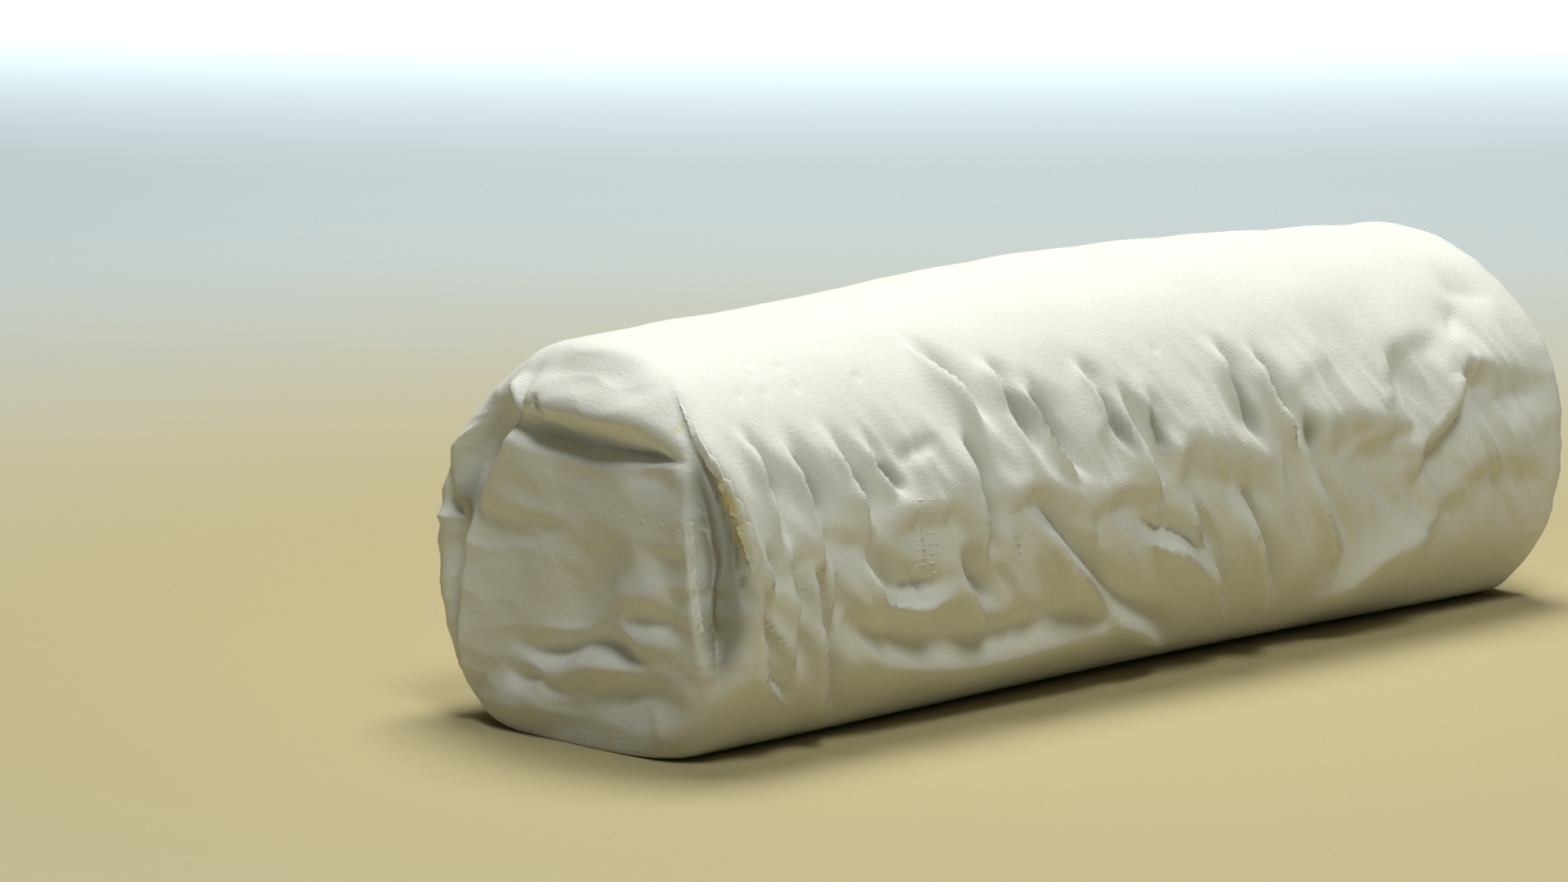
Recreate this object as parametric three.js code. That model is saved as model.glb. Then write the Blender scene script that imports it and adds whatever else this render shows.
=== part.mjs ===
// A goat cheese log with a white bloomy rind: one solid, lying on a flat foot.
// The rind keeps the cast of the wrapper it ripened in: folds run round its sides, and each end
// shows the print of a folded closure, a top flap over two side flaps with a bottom flap over all.
//
// Frame: millimetres, +X along the log, +Z up. The origin is on the ground below the middle.
// A place on the side is [x, angle]: angle 0 faces -Y, 90 is the top. A place on the end at -X is [y, z].
import * as THREE from 'three';
import { mergeVertices } from 'three/addons/utils/BufferGeometryUtils.js';

// Driving sizes
const LENGTH = 156;
const RIM_ROUND = 3.6;
const TOP_RIM_ROUND = 6.5;
const TOP_RIM_EASE = [0.3, 0.9];
const END_DOME = 0.8;
const RADIUS = { near: 25.4, middle: 26.4, far: 25.9 };
const AXIS_HEIGHT = { near: 21.4, middle: 24.2, far: 22.8 };
const NEAR_EASE = [-78, 10];
const FAR_EASE = [20, 83];
const SAG = 2.4;
const FOOT_ROUND = 1.5;

// The facets of the solid: how many along the log, and how many across each quarter of its round
const FACETS_ALONG = 64;
const FACETS_ACROSS = 20;

// How far beside its crest a crease has its valley, the finest that these facets can hold, how much wider
// its outer flanks are, how far a fold fades at its two tips, and how sharply folds that meet keep to the
// higher one
const CREASE_GAP = 3.6;
const CREASE_SPREAD = 1.5;
const TIP_FADE = 7;
const TIP_FADE_SHARE = 0.4;
const STEPS_ALONG_FOLD = 10;
const BLEND = 6;

// The hidden half repeats the shown half turned about Z, with each fold moved a little
const STRAY_ALONG = 4;
const STRAY_ANGLE = 5;
const STRAY_ON_END = 0.8;

const RIND_COLOUR = 0xebe9e0;
const RIND_ROUGHNESS = 0.75;

// A fold is a crest, or a valley where its rise is negative, along a path. A path that goes down has
// its first width on the right, seen from outside, and one that goes right has it above.
const fold = (rise, width, otherWidth, ...path) => ({ rise, width, otherWidth, path });

// A crease is a crest with a valley beside it, at a gap: on the side of a fold's first width, or on the
// other side where the gap is negative
const crease = (rise, gap, ...path) => ({ rise, gap, path });

const sideCreases = [
  // pleats that hang from the smooth top, each with its hollow on the right
  crease(1.4, CREASE_GAP, [-66.4, 43], [-65, 20], [-61.5, -6]),
  crease(1.4, CREASE_GAP, [-57.8, 40], [-55.8, 19], [-53, 0]),
  crease(1.6, CREASE_GAP, [-37.8, 60], [-37.2, 40], [-37, 20], [-36, 0], [-33.6, -13]),
  crease(1.5, CREASE_GAP, [-25.4, 43], [-22, 18], [-17, 1]),
  crease(1.3, CREASE_GAP, [-11.8, 39], [-8.6, 12], [-2.6, -6]),
  crease(1.7, CREASE_GAP, [13.8, 41], [16.6, 20], [21.4, 1]),
  // ledges along the middle, each with its hollow below
  crease(0.8, -CREASE_GAP, [-36, 8], [-29, 10.5], [-21, 6], [-13, -1]),
  crease(0.8, -CREASE_GAP, [-5, 10], [5, 12], [15, 5.6], [25, 3]),
  crease(0.8, -CREASE_GAP, [20, 4], [26, 13], [33, 12.4], [48, 8]),
  crease(0.6, -CREASE_GAP, [35, 10], [44, 30], [56, 35]),
  // long folds that sweep down the lower half, each with its hollow above
  crease(1.3, CREASE_GAP, [-63.6, 2], [-62, -18], [-54, -44]),
  crease(1.6, CREASE_GAP, [-58, 4], [-53.6, -10], [-48, -17], [-41, -17]),
  crease(1.6, CREASE_GAP, [-57, -20], [-49, -32], [-38, -39], [-30, -42]),
  crease(1.7, CREASE_GAP, [-41.4, 0], [-36, -20], [-28, -39]),
  crease(2.0, CREASE_GAP, [-30, 8], [-21, -13], [-12, -29], [-3, -39], [6, -50]),
  crease(1.7, CREASE_GAP, [-12, -5], [0, -18], [10, -34]),
  crease(1.4, CREASE_GAP, [8, 3], [14, -22], [22.6, -45]),
  // the long fold and the ledge near the far end
  crease(1.6, -CREASE_GAP, [41, -7], [49.6, 8.6], [55, 21.5], [66, 20]),
  crease(0.7, -CREASE_GAP, [48, -14], [57, -5], [63, -3.5], [75, -9]),
];

const sideFolds = [
  // the lapped edge of the rind beside the end, and the strip sunk under it
  fold(1.0, 10, 3.6, [-71.4, 72], [-75, 48], [-74.6, 29], [-72.4, 2], [-71, -14]),
  fold(-1.6, 3.6, 4.5, [-76.6, 44], [-76.2, 28], [-74, 0], [-72.8, -14]),
  // the seam low on the side, and the broad bulge beyond it
  fold(1.2, 3.6, 4, [-41, -33], [-28, -40], [-15, -37.6], [-8, -42]),
  fold(2.2, 6, 10, [27, -44], [39, -28], [52, -15]),
  // shallow hollows under the smooth top
  fold(-0.7, 5, 4, [54.5, 29], [57.5, 36], [61, 42]),
  fold(-0.8, 7, 7, [59, 47], [64.5, 46.5], [70, 43.5]),
  fold(-1.0, 7, 7, [57, 10], [64, 13], [73, 13]),
];

const endFolds = [
  // the top flap, rolled over the end, and the deep tuck below it
  fold(-1.2, 3.6, 3.6, [11, 42.4], [-1, 43.6], [-14, 41.2]),
  fold(1.5, 3.6, 3.6, [8, 39.2], [-5, 39.2], [-18, 38.2]),
  fold(-3.2, 3.8, 3.6, [9, 36.6], [-3, 35], [-17, 35.1]),
  fold(1.5, 3.6, 3.6, [12.6, 43], [8, 39.6], [3.4, 36.8]),
  // the left edge of the bottom flap, and the valley between it and the left flap
  fold(2.2, 12, 3.6, [2.4, 38.6], [10.2, 32.8], [16, 24]),
  fold(1.6, 10, 3.6, [14.6, 28], [17.8, 10], [18.4, 2]),
  fold(-3.4, 3.6, 6, [8.4, 39.4], [15, 31.6], [18.2, 25]),
  fold(-2.0, 3.6, 3.6, [17.6, 29], [19.4, 20], [20.2, 8]),
  fold(0.9, 3.6, 3.6, [25, 24], [20, 24.6]),
  // dents across the bottom flap
  fold(-1.6, 6, 6, [-8, 26], [-5.4, 21.5], [-1, 16.6], [6, 14]),
  fold(1.0, 3.6, 4.5, [-4, 17], [-10, 18.8], [-20, 19.2]),
  fold(-1.8, 3.6, 3.6, [11, 10.6], [3, 10.4], [-7, 12.6], [-15, 11]),
  fold(1.3, 3.6, 6, [10, 8.8], [2, 8.8], [-8, 10.2], [-15, 9.4]),
  fold(-1.0, 3.6, 4.5, [-2, 5.6], [-8, 7], [-19, 6.4]),
  // the right edge of the bottom flap and the strip sunk beside it
  fold(1.0, 3.6, 7.5, [-18.6, 36], [-21, 20], [-23.6, 8]),
  fold(-1.6, 5, 3.6, [-21.2, 34], [-22.6, 20], [-24.4, 10]),
];

// Plain log
const { clamp, degToRad, smoothstep } = THREE.MathUtils;
const HALF_LENGTH = LENGTH / 2 - END_DOME;

const stationed = (size, x) => size.near
  + (size.middle - size.near) * smoothstep(x, ...NEAR_EASE)
  + (size.far - size.middle) * smoothstep(x, ...FAR_EASE);

// Height above the ground, eased to a flat foot
function footed(z) {
  if (z > FOOT_ROUND) return z;
  if (z < -FOOT_ROUND) return 0;
  return (z + FOOT_ROUND) ** 2 / (4 * FOOT_ROUND);
}

// How the radius grows below the axis, where the soft log has settled towards a square
function sagged(turn) {
  if (Math.sin(turn) >= 0) return 1;
  return (Math.abs(Math.cos(turn)) ** SAG + Math.abs(Math.sin(turn)) ** SAG) ** (-1 / SAG);
}

// The log's surface for a place along it, a share of its radius and a turn from +Y towards +Z
function surfacePoint(x, share, turn) {
  const radius = stationed(RADIUS, x) * sagged(turn);
  const axis = stationed(AXIS_HEIGHT, x);
  const rim = RIM_ROUND + (TOP_RIM_ROUND - RIM_ROUND) * smoothstep(Math.sin(turn), ...TOP_RIM_EASE);
  const coreX = clamp(x, rim - HALF_LENGTH, HALF_LENGTH - rim);
  const coreR = Math.min(share * radius, radius - rim);
  const out = new THREE.Vector2(x - coreX, share * radius - coreR).setLength(rim);
  const r = coreR + out.y;
  const dome = END_DOME * Math.sign(out.x) * (1 - (r / radius) ** 2);
  return new THREE.Vector3(coreX + out.x + dome, r * Math.cos(turn), footed(axis + r * Math.sin(turn)));
}

const onSide = ([x, angle]) => surfacePoint(x, 1, Math.PI - degToRad(angle));

function onEnd([y, z], facing) {
  const x = facing * HALF_LENGTH;
  const rise = z - stationed(AXIS_HEIGHT, x);
  const turn = Math.atan2(rise, y);
  const share = Math.min(Math.hypot(y, rise) / (stationed(RADIUS, x) * sagged(turn)), 1);
  return surfacePoint(x, share, turn);
}

// A square of side 2 turned into a round: its rings become circles, its rays keep an even spread
function roundFromSquare(y, z) {
  const share = Math.max(Math.abs(y), Math.abs(z));
  if (share === 0) return { share, turn: 0 };
  const quarter = Math.PI / 4;
  const turn = Math.abs(y) >= Math.abs(z)
    ? quarter * z / y + (y < 0 ? Math.PI : 0)
    : Math.PI / 2 - quarter * y / z + (z < 0 ? Math.PI : 0);
  return { share, turn };
}

function plainLog() {
  const box = new THREE.BoxGeometry(LENGTH, 2, 2, FACETS_ALONG, FACETS_ACROSS, FACETS_ACROSS);
  box.deleteAttribute('normal');
  box.deleteAttribute('uv');
  const geometry = mergeVertices(box);
  const place = geometry.attributes.position;
  for (let i = 0; i < place.count; i++) {
    const { share, turn } = roundFromSquare(place.getY(i), place.getZ(i));
    const x = place.getX(i) * HALF_LENGTH * 2 / LENGTH;
    const point = surfacePoint(x, share, turn);
    place.setXYZ(i, point.x, point.y, point.z);
  }
  geometry.computeVertexNormals();
  return geometry;
}

// The crest and the valley of one crease, as folds
function creased({ rise, gap, path }) {
  const steep = Math.abs(gap);
  const wide = CREASE_SPREAD * steep;
  const [width, otherWidth] = gap > 0 ? [steep, wide] : [wide, steep];
  const perDegree = degToRad(RADIUS.middle);
  const beside = path.map(([x, angle], i) => {
    const [x0, angle0] = path[Math.max(i - 1, 0)];
    const [x1, angle1] = path[Math.min(i + 1, path.length - 1)];
    const run = new THREE.Vector2(x1 - x0, (angle1 - angle0) * perDegree).normalize();
    return [x - gap * run.y, angle + gap * run.x / perDegree];
  });
  return [fold(rise, width, otherWidth, ...path), fold(-rise, otherWidth, width, ...beside)];
}

// An even spread of values from -1 to 1, the same on each run
const GOLDEN_SHARE = (Math.sqrt(5) - 1) / 2;
const stray = (index) => 2 * ((index * GOLDEN_SHARE) % 1) - 1;

// The folds as curves in space: the shown half as listed, and the hidden half turned about Z
function placedFolds() {
  const onSides = [...sideFolds, ...sideCreases.flatMap(creased)];
  const shown = [
    ...onSides.map((f) => ({ ...f, points: f.path.map(onSide) })),
    ...endFolds.map((f) => ({ ...f, points: f.path.map((p) => onEnd(p, -1)) })),
  ];
  const hiddenSide = onSides.map((f, i) => {
    const moved = f.path.map(([x, angle]) => [-x + STRAY_ALONG * stray(2 * i),
      180 - angle + STRAY_ANGLE * stray(2 * i + 1)]);
    return { ...f, points: moved.map(onSide) };
  });
  const hiddenEnd = endFolds.map((f, i) => {
    const moved = f.path.map(([y, z]) => [-y + STRAY_ON_END * stray(2 * i), z + STRAY_ON_END * stray(2 * i + 1)]);
    return { ...f, points: moved.map((p) => onEnd(p, 1)) };
  });
  return [...shown, ...hiddenSide, ...hiddenEnd].map((f) => {
    const curve = new THREE.CatmullRomCurve3(f.points);
    return {
      ...f,
      length: curve.getLength(),
      points: curve.getSpacedPoints(STEPS_ALONG_FOLD * (f.points.length - 1)),
    };
  });
}

// How far one fold lifts the surface at a point
function lift(f, point, normal) {
  const reach = Math.max(f.width, f.otherWidth);
  const segment = new THREE.Line3();
  const foot = new THREE.Vector3();
  let nearest = Infinity;
  let along = 0;
  let side = 0;
  for (let i = 0; i + 1 < f.points.length; i++) {
    segment.set(f.points[i], f.points[i + 1]);
    if (Math.abs(segment.start.x - point.x) > reach + f.length) continue;
    const share = segment.closestPointToPointParameter(point, true);
    segment.at(share, foot);
    const gap = foot.distanceTo(point);
    if (gap >= nearest) continue;
    nearest = gap;
    along = (i + share) / (f.points.length - 1);
    const across = segment.delta(new THREE.Vector3()).cross(normal).negate();
    side = point.clone().sub(foot).dot(across);
  }
  const share = nearest / (side > 0 ? f.width : f.otherWidth);
  if (share >= 1) return 0;
  const fade = Math.min(TIP_FADE, TIP_FADE_SHARE * f.length) / f.length;
  const tips = smoothstep(along, 0, fade) * smoothstep(1 - along, 0, fade);
  return f.rise * tips * (1 - share ** 2) ** 2;
}

// How far all folds lift the surface at a point: crests that meet blend and don't pile up, as valleys do
function height(folds, point, normal) {
  let crests = 0;
  let valleys = 0;
  for (const f of folds) {
    const rise = lift(f, point, normal);
    if (rise > 0) crests += rise ** BLEND;
    else valleys += (-rise) ** BLEND;
  }
  return crests ** (1 / BLEND) - valleys ** (1 / BLEND);
}

// Each height eased towards its neighbours', so that no fold is finer than the facets
function softened(heights, corners) {
  const sums = new Float64Array(heights.length);
  const counts = new Uint16Array(heights.length);
  for (let i = 0; i < corners.length; i += 3) {
    const facet = corners.slice(i, i + 3);
    for (const here of facet) {
      for (const there of facet) sums[here] += heights[there];
      counts[here] += facet.length;
    }
  }
  return heights.map((_, i) => sums[i] / counts[i]);
}

function cheeseLog() {
  const geometry = plainLog();
  const folds = placedFolds();
  const place = geometry.attributes.position;
  const points = [];
  const normals = [];
  for (let i = 0; i < place.count; i++) {
    points.push(new THREE.Vector3().fromBufferAttribute(place, i));
    normals.push(new THREE.Vector3().fromBufferAttribute(geometry.attributes.normal, i));
  }
  const heights = points.map((point, i) => (point.z > 0 ? height(folds, point, normals[i]) : 0));
  softened(heights, geometry.index.array).forEach((rise, i) => {
    const point = points[i];
    if (point.z > 0) point.addScaledVector(normals[i], rise);
    place.setXYZ(i, point.x, point.y, Math.max(point.z, 0));
  });
  geometry.computeBoundingBox();
  const middle = geometry.boundingBox.getCenter(new THREE.Vector3());
  geometry.translate(-middle.x, -middle.y, 0);
  geometry.computeVertexNormals();
  const rind = new THREE.MeshStandardMaterial({ color: RIND_COLOUR, roughness: RIND_ROUGHNESS, metalness: 0 });
  const mesh = new THREE.Mesh(geometry, rind);
  mesh.name = 'cheese_log';
  return mesh;
}

const part = new THREE.Group();
part.add(cheeseLog());

export default part;
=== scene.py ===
"""The looks of a goat cheese log: a white bloomy rind that keeps the cast of its wrapper's folds."""
import math
from collections import namedtuple

import bpy
import numpy as np
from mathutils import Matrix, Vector


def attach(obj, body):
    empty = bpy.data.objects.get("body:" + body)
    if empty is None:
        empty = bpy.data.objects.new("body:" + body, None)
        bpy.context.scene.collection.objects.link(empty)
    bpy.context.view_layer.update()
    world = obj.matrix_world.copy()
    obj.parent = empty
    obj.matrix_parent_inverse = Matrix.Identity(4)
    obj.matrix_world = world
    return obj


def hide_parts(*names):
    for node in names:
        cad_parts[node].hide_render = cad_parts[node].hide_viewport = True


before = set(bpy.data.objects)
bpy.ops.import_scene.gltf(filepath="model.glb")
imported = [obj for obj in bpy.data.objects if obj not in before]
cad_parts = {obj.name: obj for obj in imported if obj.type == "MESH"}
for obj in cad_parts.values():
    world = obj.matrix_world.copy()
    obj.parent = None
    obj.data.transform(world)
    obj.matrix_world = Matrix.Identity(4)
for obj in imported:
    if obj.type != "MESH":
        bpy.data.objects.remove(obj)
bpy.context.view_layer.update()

bl_info = {
    "name": "Goat cheese log",
    "version": (1, 0, 0),
    "blender": (4, 5, 0),
    "location": "3D View > Sidebar > Cheese",
    "description": "Builds a goat cheese log with a folded white rind, and a plain stage for it",
    "category": "Object",
}

MM = 0.001
NODE = "cheese_log"
BODY = "root"

# Sizes of the plain log, in millimetres, as in the solid
RIM_ROUND = 3.6
TOP_RIM_ROUND = 6.5
TOP_RIM_EASE = (0.3, 0.9)
END_DOME = 0.8
RADIUS = (25.4, 26.4, 25.9)
AXIS_HEIGHT = (21.4, 24.2, 22.8)
NEAR_EASE = (-78.0, 10.0)
FAR_EASE = (20.0, 83.0)
SAG = 2.4
FOOT_ROUND = 1.5

# A fold fades at its tips over a length, or over a share of a short fold
TIP_FADE = 9.0
TIP_FADE_SHARE = 0.42
TIP_WIDTH = 0.4
FLANK_HOLLOW = 2.0
BLEND = 6
STEPS_ALONG_FOLD = 8

# The hidden half repeats the shown half turned about Z, with each fold moved a little
STRAY_ALONG = 4.0
STRAY_ANGLE = 5.0
STRAY_ON_END = 0.8
GOLDEN_SHARE = (math.sqrt(5) - 1) / 2

# A fold is a crest, or a valley where its rise is negative, along a path. A path that goes down has
# its first width on the right, seen from outside, and one that goes right has it above.
# A place on the side is (x, angle): angle 0 faces -Y, 90 is the top. A place on the end is (y, z).
# The head is the length over which the fold starts, where that differs from its tail, and the round is
# the radius of its crest.
Fold = namedtuple("Fold", "rise width other_width path head round", defaults=[None, 0.12])

# A crease of the side is a crest with a valley beside it, at a gap: on the side of a fold's first width, or
# on the other side where the gap is negative. Its outer flanks are as wide as its spread times the gap.
Crease = namedtuple("Crease", "rise gap path spread round", defaults=[1.9, 0.12])

SIDE_CREASES = [
    # pleats that hang from the smooth top, each with its dark side on the right
    Crease(1.61, 1.9, [(-70.2, 44), (-69.6, 32), (-69.2, 20), (-68.6, 9), (-67.8, 1)]),
    Crease(1.72, 2.3, [(-64.8, 42), (-64.2, 30), (-63.4, 20), (-62.8, 11), (-62, 1), (-60.6, -6),
                       (-59.2, -12)]),
    Crease(1.72, 2.1, [(-58.2, 40), (-57.3, 29), (-56, 19), (-54.6, 8), (-53.6, 0)]),
    Crease(0.92, 1.9, [(-53, 36), (-52, 27), (-50.6, 20), (-48.6, 10)]),
    Crease(1.61, 1.9, [(-37.8, 60), (-36.2, 49), (-35, 41), (-33.8, 32), (-32.8, 22)]),
    Crease(2.07, 2.5, [(-38.6, 32), (-37.8, 20), (-37, 8), (-36, -3), (-34, -13)]),
    Crease(1.03, 1.7, [(-29, 48), (-28.2, 38), (-27.2, 28)]),
    Crease(1.72, 2.3, [(-25.4, 42), (-23.8, 30), (-22, 18), (-19.6, 9), (-17, 1)]),
    Crease(1.15, 1.7, [(-14.6, 42), (-13.4, 31), (-12, 20)]),
    Crease(1.72, 2.3, [(-10.8, 32), (-9, 18), (-7.6, 9), (-5.4, 1), (-2.6, -6)]),
    Crease(1.03, 1.7, [(-6.4, 32), (-5, 20), (-3.4, 7)]),
    Crease(1.38, 1.7, [(9.8, 42), (10.6, 30), (11.6, 20), (13.4, 9)]),
    Crease(1.95, 1.7, [(15.4, 38), (16.4, 28), (17.4, 20), (19, 11), (21.4, 1)]),
    # ledges along the middle, each with its dark side below
    Crease(0.7, -2.6, [(-69, 6), (-62, 10.5), (-57, 10), (-51, 7)], 2.6, 0.3),
    Crease(0.8, -3.0, [(-54, 9), (-47, 11), (-41, 10.4), (-34, 8)], 2.4, 0.6),
    Crease(0.9, -3.0, [(-36, 8), (-29, 10.5), (-25, 9.5), (-21, 6), (-17, 1.2), (-13, -1)], 2.6, 0.5),
    Crease(0.7, -2.8, [(-20, 0), (-16, 3), (-12, 4.6), (-7, 4), (-1, 2)], 2.6, 0.5),
    Crease(0.9, -5.0, [(-8, 7), (-3, 11), (3, 12.4), (9, 9.6), (14, 5), (21, 3)], 1.6, 0.6),
    Crease(0.8, -5.0, [(19, 4), (23, 11), (28, 13.4), (35, 12.4), (41, 9), (48, 8)], 1.6, 0.6),
    Crease(0.6, -2.0, [(28, -2), (33, 3), (37, 7.2), (45, 11)], 1.9, 0.5),
    Crease(0.25, -3.6, [(18, 16), (24, 27), (34, 31)], 1.8, 1.0),
    Crease(0.4, -3.0, [(35, 10), (41, 26), (45, 33), (56, 36)], 1.9, 1.0),
    # long folds that sweep down the lower half, each with its dark side on its right or above it
    Crease(1.4, 1.4, [(-67.2, 8), (-66.8, -4), (-66.2, -18), (-64.8, -31)]),
    Crease(1.4, 1.4, [(-60.8, 5), (-60.4, -7), (-59.4, -20)]),
    Crease(1.2, 1.2, [(-71.8, 11), (-70.8, 0), (-70, -7)]),
    Crease(1.5, 1.2, [(-72.6, 0), (-71.6, -10), (-70.8, -19), (-69.8, -26), (-67, -31.5), (-63, -38)]),
    Crease(2.1, 1.7, [(-63.6, 12), (-64, 1), (-63.4, -9), (-62.2, -19), (-60.6, -28), (-58.8, -37),
                      (-54, -46)]),
    Crease(1.8, 2.4, [(-58.6, 6), (-56.4, -1), (-54.2, -7), (-51.4, -12), (-48, -15), (-42, -15.5),
                      (-37, -14)], 1.9, 0.6),
    Crease(1.5, 2.6, [(-58.4, -13), (-55, -22), (-50, -28), (-44, -31.6), (-38, -34), (-31, -35.6),
                      (-24, -35.4), (-17, -34.4), (-11, -35.4), (-4, -39)], 2.2, 1.2),
    Crease(1.9, 2.4, [(-41.4, 0), (-39.4, -11), (-36, -18.5), (-32.4, -26), (-30.6, -30)]),
    Crease(2.1, 2.2, [(-30, 8), (-25.4, -3), (-21, -13), (-16, -21.5), (-12, -29), (-8.6, -33.6), (-3, -39),
                      (6, -50)]),
    Crease(1.8, 2.2, [(-12, -5), (-6, -13), (0, -18), (5, -25), (10, -34)]),
    Crease(1.5, 1.6, [(0.4, 3), (2, -11), (5.6, -21), (9, -33), (13.6, -44)]),
    Crease(2.3, 2.2, [(8, 3), (10.6, -11), (14, -22), (17.6, -33), (22.6, -45)]),
    Crease(1.2, 2.0, [(22, 3), (24.6, -8), (28, -19), (33, -30)]),
    # the long fold and the ledges near the far end
    Crease(1.4, -3.0, [(41, -7), (46.6, 4), (49.6, 8.6), (52.6, 14), (55, 21.5), (57.5, 24), (66, 20)],
           2.2, 0.3),
    Crease(0.5, -3.0, [(55, 22), (65, 21.5), (76, 18)], 2.6, 1.0),
    Crease(0.6, -3.2, [(48, -14), (57, -5), (63, -3.5), (75, -9)], 2.6, 1.0),
    Crease(0.5, -2.8, [(44, -20), (53.5, -12), (62, -14)], 2.6, 1.0),
]

SIDE_FOLDS = [
    # the strip that is sunk beside the end, under the lapped edge of the rind
    Fold(-1.8, 1.8, 4.5, [(-76.6, 50), (-76.8, 40), (-76.2, 28), (-75, 14), (-74, 0), (-72.8, -14)], 14),
    Fold(1.0, 10, 1.4, [(-71.4, 72), (-73.6, 58), (-75, 48), (-75.3, 39), (-74.6, 29), (-73.4, 16),
                        (-72.4, 2), (-71, -14)], 24),
    # short folds between the long ones
    Fold(-0.6, 2.0, 1.6, [(-49, 23.6), (-45, 25), (-40, 27)], None, 0.5),
    Fold(0.7, 2.6, 2.6, [(-66.2, 13), (-66.8, 6), (-67.8, 0)]),
    Fold(0.5, 1.4, 1.4, [(-45.9, 16), (-45.8, 4), (-45.4, -8)]),
    Fold(0.7, 3.0, 3.0, [(-45.6, -9), (-43, -20), (-39, -28)]),
    Fold(-0.9, 3.6, 3.0, [(-15.2, 5), (-15.6, -7), (-13.6, -19)]),
    Fold(-0.7, 3.0, 3.0, [(-56.8, -6), (-56.4, -18), (-54, -28)]),
    Fold(1.0, 6.0, 6.0, [(42, 8), (43, -2), (44, -11)]),
    # the broad bulge low on the side
    Fold(2.2, 6.0, 10.0, [(27, -44), (34, -35), (39, -28), (46, -23), (52, -15)]),
    # shallow hollows under the smooth top
    Fold(-0.7, 5.0, 4.0, [(54.5, 29), (57.5, 36), (61, 42)]),
    Fold(-0.8, 7.0, 7.0, [(59, 47), (64.5, 46.5), (70, 43.5)]),
    Fold(-1.0, 7.0, 7.0, [(57, 10), (64, 13), (73, 13)]),
]

# Deep narrow slots in the pleats, and how strongly painted shade greys them
SIDE_SLOTS = [
    Fold(-2.7, 2.3, 1.4, [(-68.7, 38), (-68.1, 30), (-67.7, 22), (-67, 14)], 6, 0.5),
    Fold(-3.0, 2.6, 1.6, [(-62.9, 35), (-62.2, 26), (-61, 17), (-59.8, 9)], 6, 0.5),
    Fold(-3.0, 2.4, 1.6, [(-56.2, 34), (-55.4, 25), (-54, 17), (-53, 9)], 6, 0.5),
    Fold(-1.8, 1.9, 1.4, [(-52.2, 28), (-50.8, 24), (-49, 20), (-46.6, 13)], 4, 0.5),
    Fold(-1.9, 2.6, 1.6, [(-36.8, 57), (-35.2, 48), (-33.2, 41), (-31.6, 37)], 6, 0.5),
    Fold(-3.3, 2.9, 1.9, [(-36.4, 29), (-35.8, 18), (-34.8, 5), (-32.8, -11)], 6, 0.5),
    Fold(-2.1, 2.2, 1.4, [(-27.7, 42), (-26.9, 35), (-26, 27), (-24.6, 16)], 4, 0.5),
    Fold(-1.7, 2.2, 1.4, [(-23.3, 37), (-22.5, 31), (-21.4, 23), (-19.4, 13)], 4, 0.5),
    Fold(-2.1, 2.3, 1.4, [(-12.9, 35), (-11.6, 27), (-10.2, 18), (-8.4, 8)], 4, 0.5),
    Fold(-1.8, 2.2, 1.4, [(-5, 26), (-4, 17), (-2.8, 7)], 4, 0.5),
    Fold(-2.5, 2.2, 1.4, [(11.4, 35), (11.9, 25), (13.4, 15), (15, 5)], 4, 0.5),
    Fold(-2.9, 2.2, 1.4, [(17.3, 32), (18.2, 22), (19.8, 12)], 4, 0.5),
    Fold(-1.2, 2.2, 1.6, [(22.2, 18), (23.2, 11), (24.6, 2)], 4, 0.5),
]
SLOT_PAINTED_SHADE = 0.95

# Small pits of the smooth top
SIDE_PITS = [(-66, 51), (-62, 57), (-62, 50), (-61, 66), (-61, 61.5), (-57, 58), (-57, 50),
             (-48, 61.5), (-47.5, 49), (0.5, 39)]
PIT = Fold(-0.5, 0.9, 0.9, [(-0.5, 0), (0, 0), (0.5, 0)])

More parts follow.
